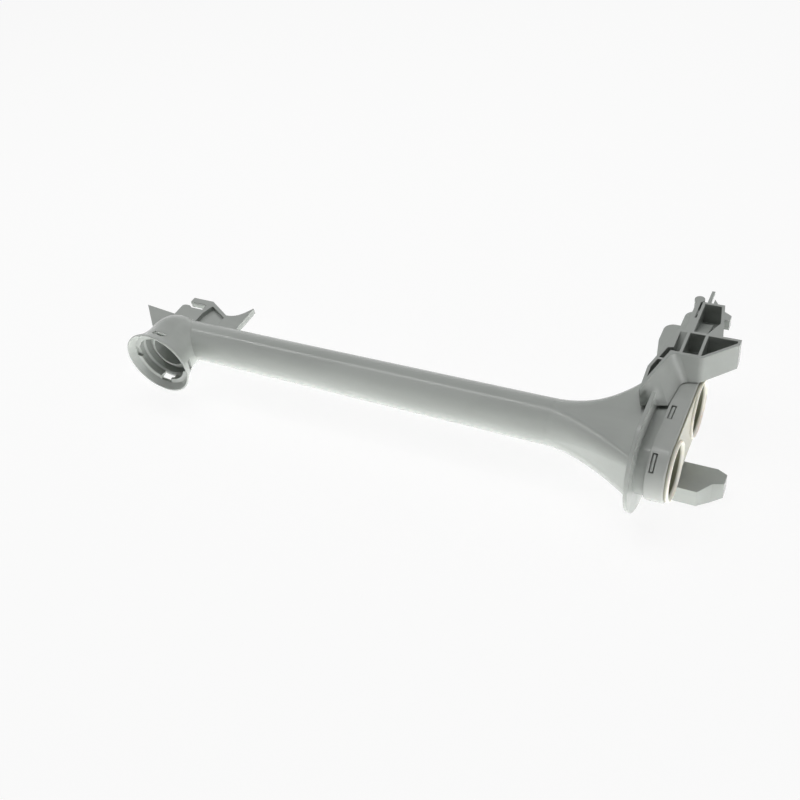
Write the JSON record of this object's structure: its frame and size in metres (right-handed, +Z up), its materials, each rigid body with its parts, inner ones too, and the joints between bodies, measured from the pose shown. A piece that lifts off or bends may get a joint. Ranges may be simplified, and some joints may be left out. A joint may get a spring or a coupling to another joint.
{
  "type": "dishwasher basket feed duct",
  "caption": "Moulded water duct with a spray-arm socket and wire clip at one end, and a flared docking head with stacked sealed inlets, a ribbed bracket and a guide wing at the other.",
  "frame": {"origin": "on the spray-arm axis, inside the feed sleeve's bore", "axes": "+X along the tube to the inlets, -Y out of the spray-arm socket (up in use is +Y), +Z up as the part lies"},
  "size_m": [0.3619, 0.1255, 0.0574],
  "materials": {
    "duct_plastic": "satin moulded polypropylene, grey",
    "head_plastic": "satin moulded polypropylene, grey",
    "seal_silicone": "soft satin silicone, cream",
    "rocker_plastic": "satin moulded acetal, dark olive grey"
  },
  "bodies": {
    "duct": {"duct_body": "duct_plastic", "docking_head": "head_plastic", "inlet_seal": "seal_silicone"},
    "rocker": {"diverter_rocker": "rocker_plastic"}
  },
  "joints": [
    {"name": "rocker_tilt", "type": "hinge", "parent": "duct", "child": "rocker", "pos_m": [0.295, 0.0208, 0], "axis": [0, 0, 1], "range_deg": [0, 16]}
  ]
}
